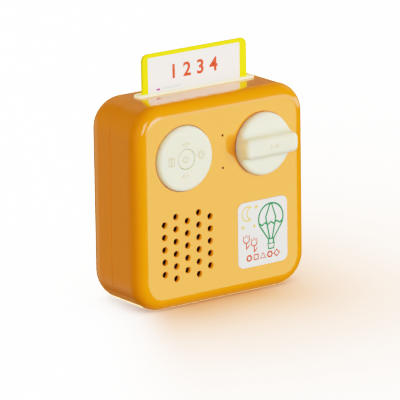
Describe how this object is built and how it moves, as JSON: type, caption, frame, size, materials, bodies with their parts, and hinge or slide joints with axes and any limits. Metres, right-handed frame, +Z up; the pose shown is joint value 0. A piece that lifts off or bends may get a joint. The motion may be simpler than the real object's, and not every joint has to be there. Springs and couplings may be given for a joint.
{
  "type": "audio story player",
  "caption": "Children's audio story player: rounded orange box with a top card slot and card, a four-way rocker pad with a power button, a bar knob, a speaker grille and a blank label.",
  "frame": {"origin": "middle of the base, where the player stands, at mid depth of the housing", "axes": "+X to the right seen from the front, +Y to the back, +Z up"},
  "size_m": [0.088, 0.0463, 0.1057],
  "materials": {
    "housing_orange": "high gloss, injection moulded",
    "cream_plastic": "satin to gloss, moulded",
    "bezel_white": "satin translucent",
    "card_print": "printed gloss card",
    "label_white": "printed satin label",
    "black_plastic": "moulded",
    "natural_plastic": "moulded",
    "clear_plastic": "clear",
    "board_green": "solder mask",
    "steel": "zinc plated",
    "nickel": "nickel plated",
    "copper": "copper wire",
    "silicone": "matt silicone",
    "foam": "closed-cell foam",
    "paper_cone": "pressed paper",
    "ferrite": "ferrite",
    "battery_foil": "foil pouch",
    "wire_sleeve": "insulation"
  },
  "bodies": {
    "housing": {"front_shell": "housing_orange", "rear_shell": "housing_orange", "housing_screws": "steel", "label_plate": "label_white", "key_bracket": "natural_plastic", "control_board": "board_green", "control_board_screws": "steel", "rocker_switches": "black_plastic", "power_switch": "black_plastic", "microphone": "nickel", "microphone_boot": "silicone", "status_led": "clear_plastic", "light_pipe": "clear_plastic", "encoder_case": "nickel", "speaker_basket": "steel", "speaker_surround": "silicone", "speaker_magnet": "ferrite", "speaker_yoke": "steel", "speaker_gasket": "foam", "speaker_screws": "steel", "speaker_terminal": "board_green", "slot_bezel": "bezel_white", "card_guide_front": "natural_plastic", "card_guide_rear": "natural_plastic", "guide_screws": "steel", "reader_board": "board_green", "reader_chips": "black_plastic", "night_light_board": "board_green", "night_light_leds": "clear_plastic", "main_board": "board_green", "main_board_screws": "steel", "main_chips": "black_plastic", "usb_socket": "nickel", "battery_cell": "battery_foil", "battery_pad": "foam", "battery_plug": "natural_plastic", "speaker_plug": "natural_plastic", "control_plug": "natural_plastic", "control_board_plug": "natural_plastic", "battery_lead": "wire_sleeve", "speaker_lead": "wire_sleeve", "control_cable": "wire_sleeve"},
    "card": {"story_card": "card_print"},
    "rocker_pivot": {"rocker_washer": "natural_plastic"},
    "rocker_pad": {"control_ring": "cream_plastic"},
    "power_key": {"power_button": "cream_plastic", "power_switch_stem": "natural_plastic"},
    "encoder_rotor": {"encoder_rotor": "natural_plastic"},
    "knob": {"knob": "cream_plastic", "encoder_shaft": "nickel"},
    "cone": {"speaker_cone": "paper_cone", "speaker_coil": "copper"}
  },
  "joints": [
    {"name": "card_slide", "type": "slide", "parent": "housing", "child": "card", "axis": [0, 0, 1], "range_m": [0, 0.07]},
    {"name": "rocker_left_right", "type": "hinge", "parent": "housing", "child": "rocker_pivot", "pos_m": [-0.01975, -0.01372, 0.0644], "axis": [0, 0, 1], "range_deg": [-1.5, 1.5], "stiffness_Nm_per_rad": 0.45},
    {"name": "rocker_up_down", "type": "hinge", "parent": "rocker_pivot", "child": "rocker_pad", "pos_m": [-0.01975, -0.01502, 0.0644], "axis": [1, 0, 0], "range_deg": [-1.5, 1.5], "stiffness_Nm_per_rad": 0.45},
    {"name": "power_press", "type": "slide", "parent": "housing", "child": "power_key", "axis": [0, 1, 0], "range_m": [0, 0.0003], "stiffness_N_per_m": 600, "springref_m": -0.0025},
    {"name": "knob_turn", "type": "hinge", "parent": "housing", "child": "encoder_rotor", "pos_m": [0.02055, -0.01285, 0.06445], "axis": [0, 1, 0], "continuous": true},
    {"name": "knob_press", "type": "slide", "parent": "encoder_rotor", "child": "knob", "axis": [0, 1, 0], "range_m": [0, 0.0005], "stiffness_N_per_m": 600, "springref_m": -0.005},
    {"name": "cone_stroke", "type": "slide", "parent": "housing", "child": "cone", "axis": [0, 1, 0], "range_m": [-0.0004, 0.0004], "stiffness_N_per_m": 1500}
  ]
}
